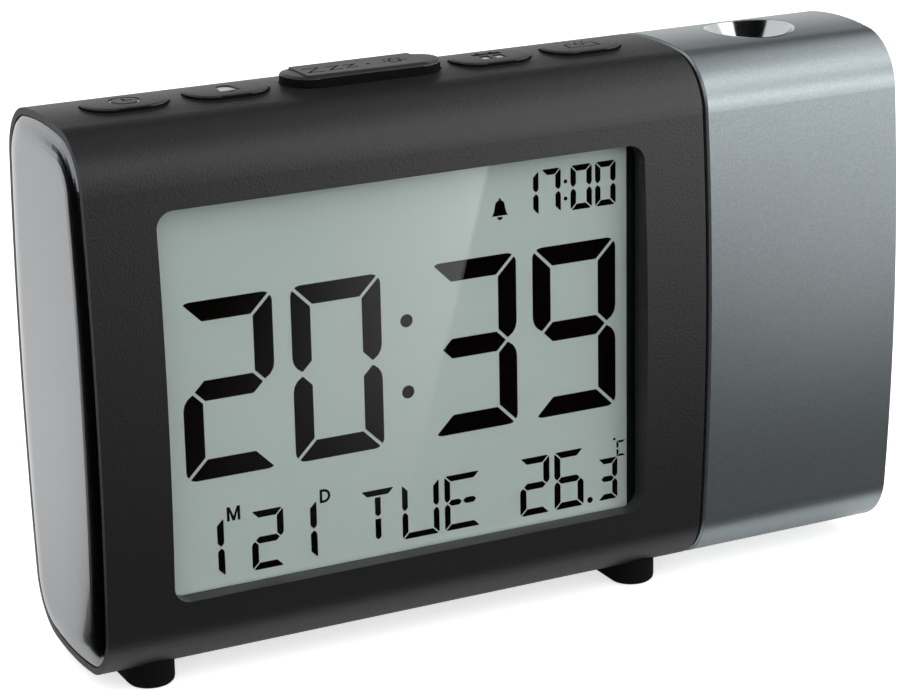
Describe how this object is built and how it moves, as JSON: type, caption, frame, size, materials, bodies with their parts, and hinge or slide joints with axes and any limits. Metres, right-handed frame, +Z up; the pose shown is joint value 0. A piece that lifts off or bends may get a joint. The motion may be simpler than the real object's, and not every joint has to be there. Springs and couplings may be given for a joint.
{
  "type": "projection alarm clock",
  "caption": "Table alarm clock: crowned dark sleeve with a recessed liquid crystal display, keys on top, and a metallic projector head of the same section that swivels at its right end.",
  "frame": {"origin": "on the table under the middle of the clock", "axes": "+X from the sleeve to the projector head, -Y out of the display, +Z up"},
  "size_m": [0.1414, 0.0355, 0.0908],
  "materials": {
    "case": "fine texture",
    "cover": "fine texture",
    "key": "fine texture",
    "inner_plastic": "satin",
    "silver_plastic": "gloss",
    "metallic_plastic": "satin metallic",
    "bright_plastic": "bright plated",
    "pale_plastic": "satin",
    "clear": "polished",
    "optic": "polished",
    "liquid_crystal": "satin",
    "rubber": "matte",
    "board": "satin",
    "steel": "satin",
    "cell": "satin",
    "lead": "satin"
  },
  "bodies": {
    "base": {"sleeve": "case", "left_end_cap": "silver_plastic", "window_lens": "clear", "lcd_panel": "liquid_crystal", "lcd_frame": "inner_plastic", "light_guide": "pale_plastic", "backlight_leds": "pale_plastic", "contact_strips": "rubber", "main_board": "board", "controller_chip": "inner_plastic", "key_board": "board", "key_switches": "inner_plastic", "board_screws": "steel", "case_screws": "steel", "back_cover": "cover", "battery_cells": "cell", "battery_contacts": "steel", "sounder": "inner_plastic", "room_sensor": "lead", "power_socket": "inner_plastic", "socket_board": "board", "inner_leads": "lead", "feet": "rubber", "bulkhead": "inner_plastic", "friction_washer": "pale_plastic", "swivel_header": "pale_plastic", "swivel_leads": "lead"},
    "head": {"head_hub": "inner_plastic", "retaining_ring": "steel", "spring_washer": "steel", "hub_screws": "steel", "head_shell": "metallic_plastic", "right_end_cap": "silver_plastic", "funnel": "bright_plastic", "lamp_housing": "inner_plastic", "focus_pin": "steel", "projection_slide": "liquid_crystal", "condenser_lens": "optic", "lamp_board": "board", "lamp_led": "pale_plastic", "head_board": "board"},
    "time_button": {"time_button": "key"},
    "alarm_button": {"alarm_button": "key"},
    "snooze_button": {"snooze_button": "key"},
    "date_button": {"date_button": "key"},
    "projector_button": {"projector_button": "key"},
    "lens_unit": {"lens_barrel": "inner_plastic", "projection_lens": "optic"},
    "focus_wheel": {"focus_wheel": "inner_plastic"},
    "battery_door": {"battery_door": "cover"}
  },
  "joints": [
    {"name": "head_swivel", "type": "hinge", "parent": "base", "child": "head", "pos_m": [0.0341, 0, 0.0454], "axis": [1, 0, 0], "range_deg": [-90, 90]},
    {"name": "focus_turn", "type": "hinge", "parent": "head", "child": "focus_wheel", "pos_m": [0.0602, 0.00997, 0.0729], "axis": [1, 0, 0], "range_deg": [-28.66, 28.66]},
    {"name": "lens_travel", "type": "slide", "parent": "head", "child": "lens_unit", "axis": [0, 0, 1], "range_m": [-0.0012, 0.0012]},
    {"name": "door_lift", "type": "slide", "parent": "base", "child": "battery_door", "axis": [0, 1, 0], "range_m": [0, 0.012]},
    {"name": "time_press", "type": "slide", "parent": "base", "child": "time_button", "axis": [0, 0, -1], "range_m": [0, 0.0006], "stiffness_N_per_m": 1500, "springref_m": -0.0003},
    {"name": "alarm_press", "type": "slide", "parent": "base", "child": "alarm_button", "axis": [0, 0, -1], "range_m": [0, 0.0006], "stiffness_N_per_m": 1500, "springref_m": -0.0003},
    {"name": "snooze_press", "type": "slide", "parent": "base", "child": "snooze_button", "axis": [0, 0, -1], "range_m": [0, 0.0006], "stiffness_N_per_m": 1500, "springref_m": -0.0003},
    {"name": "date_press", "type": "slide", "parent": "base", "child": "date_button", "axis": [0, 0, -1], "range_m": [0, 0.0006], "stiffness_N_per_m": 1500, "springref_m": -0.0003},
    {"name": "projector_press", "type": "slide", "parent": "base", "child": "projector_button", "axis": [0, 0, -1], "range_m": [0, 0.0006], "stiffness_N_per_m": 1500, "springref_m": -0.0003}
  ],
  "couplings": [
    {"joint": "focus_turn", "follows": "lens_travel", "rad_per_m": -416.67}
  ]
}
